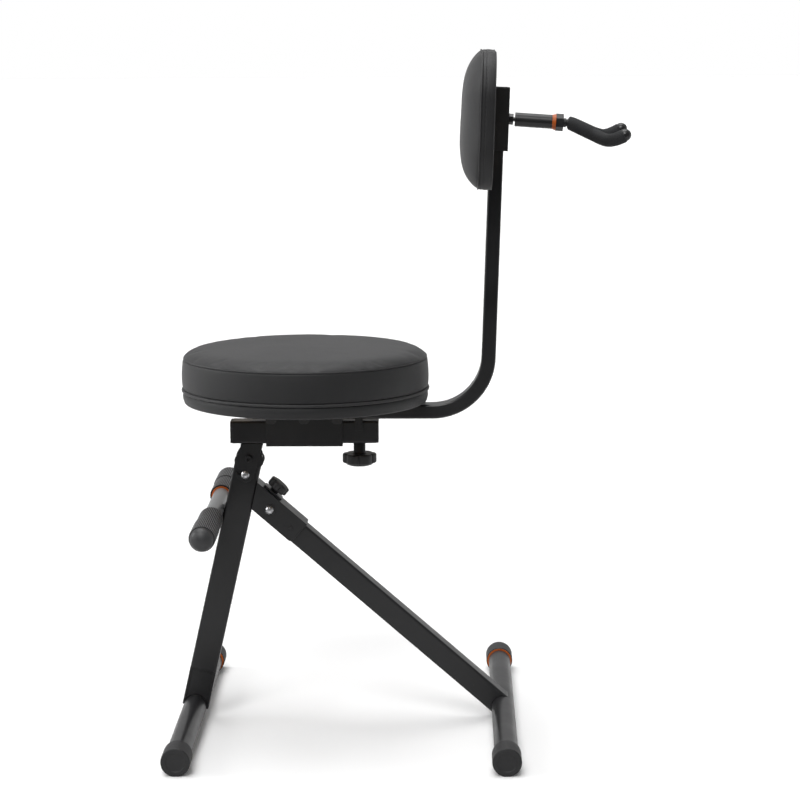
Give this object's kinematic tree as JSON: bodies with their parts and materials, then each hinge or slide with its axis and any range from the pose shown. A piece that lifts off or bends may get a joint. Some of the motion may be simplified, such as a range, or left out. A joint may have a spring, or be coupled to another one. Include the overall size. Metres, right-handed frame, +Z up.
{
  "type": "guitar stool",
  "caption": "Folding A-frame stool with a round padded seat, sliding padded backrest, sliding footrest and an instrument hanger behind the backrest",
  "frame": {"origin": "on the floor under the middle of the whole stool", "axes": "+X to the stool's rear, +Y across it along the foot bars, +Z up"},
  "size_m": [0.6434, 0.576, 0.961],
  "materials": {
    "frame_paint": "semi-gloss black powder coat",
    "zinc": "bright zinc plate, slightly worn",
    "plain_nut": "plain zinc plate",
    "black_bolt": "black oxide",
    "foot_rubber": "matt black rubber",
    "orange_ring": "moulded orange plastic",
    "knob_plastic": "fine-grained black nylon",
    "rest_tube": "satin silver-grey paint",
    "grip_rubber": "ribbed black rubber",
    "plug_plastic": "moulded black plastic",
    "plate_paint": "satin black paint",
    "board_wood": "raw plywood",
    "screw_steel": "zinc plate",
    "upholstery": "black grained vinyl over foam",
    "piping": "black vinyl cord",
    "yoke_steel": "black paint",
    "yoke_sleeve": "black foam rubber"
  },
  "bodies": {
    "leg_frame": {"front_leg": "frame_paint", "head_plates": "plug_plastic", "head_bolt": "black_bolt", "head_nut": "plain_nut", "stop_bolt": "zinc", "stop_nut": "plain_nut", "foot_bracket": "frame_paint", "front_foot_tube": "frame_paint", "front_foot_caps": "foot_rubber", "front_foot_rings": "orange_ring", "rear_bracket": "frame_paint", "fold_bolt": "zinc", "fold_nut": "plain_nut", "fold_washers": "black_bolt", "stop_rivets": "black_bolt", "lock_base": "frame_paint"},
    "rear_leg_body": {"rear_leg": "frame_paint", "rear_leg_bush": "plain_nut", "rear_foot_tube": "frame_paint", "rear_foot_caps": "foot_rubber", "rear_foot_rings": "orange_ring"},
    "lock": {"lock_knob": "knob_plastic", "lock_screw": "zinc"},
    "footrest": {"footrest_tube": "rest_tube", "footrest_grips": "grip_rubber", "footrest_end_caps": "grip_rubber", "footrest_rings": "orange_ring", "footrest_saddle": "frame_paint", "footrest_bolt": "black_bolt", "footrest_nut": "plain_nut"},
    "seat_frame": {"head_bracket": "frame_paint", "rail": "frame_paint", "rail_plugs": "plug_plastic", "seat_saddle": "frame_paint", "glide_pad": "plug_plastic", "clamp_strap": "frame_paint", "seat_plate": "plate_paint", "seat_board": "board_wood", "seat_screws": "screw_steel", "seat_cushion": "upholstery", "seat_piping": "piping", "seat_welt": "piping"},
    "clamp": {"clamp_knob": "knob_plastic", "clamp_screw": "zinc"},
    "backrest": {"back_post": "frame_paint", "back_post_plug": "plug_plastic", "back_bracket": "frame_paint", "back_screws": "screw_steel", "back_board": "board_wood", "back_cushion": "upholstery", "back_piping": "piping", "hanger_stud": "black_bolt", "hanger_nut": "black_bolt", "hanger_barrel": "frame_paint", "hanger_ring": "orange_ring", "hanger_collar": "plug_plastic"},
    "yoke": {"yoke_neck": "plug_plastic", "yoke_rod": "yoke_steel", "yoke_foam": "yoke_sleeve", "yoke_tips": "plug_plastic"}
  },
  "joints": [
    {"name": "seat_fold", "type": "hinge", "parent": "leg_frame", "child": "seat_frame", "pos_m": [-0.21797, 0, 0.38494], "axis": [0, -1, 0], "range_deg": [0, 77]},
    {"name": "rear_leg_fold", "type": "hinge", "parent": "leg_frame", "child": "rear_leg_body", "pos_m": [-0.18907, 0, 0.31133], "axis": [0, 1, 0], "range_deg": [0, 61]},
    {"name": "lock_turn", "type": "hinge", "parent": "leg_frame", "child": "lock", "pos_m": [-0.19787, 0, 0.31903], "axis": [0.6587, 0, 0.7524], "continuous": true},
    {"name": "footrest_slide", "type": "slide", "parent": "leg_frame", "child": "footrest", "axis": [0.2233, 0, 0.9748], "range_m": [-0.12, 0.015]},
    {"name": "clamp_turn", "type": "hinge", "parent": "seat_frame", "child": "clamp", "pos_m": [-0.06047, 0, 0.40693], "axis": [0, 0, 1], "continuous": true},
    {"name": "backrest_slide", "type": "slide", "parent": "seat_frame", "child": "backrest", "axis": [1, 0, 0], "range_m": [-0.035, 0.06]},
    {"name": "yoke_swivel", "type": "hinge", "parent": "backrest", "child": "yoke", "pos_m": [0.1523, 0, 0.86469], "axis": [0.9974, 0, -0.0715], "range_deg": [-90, 90]}
  ]
}
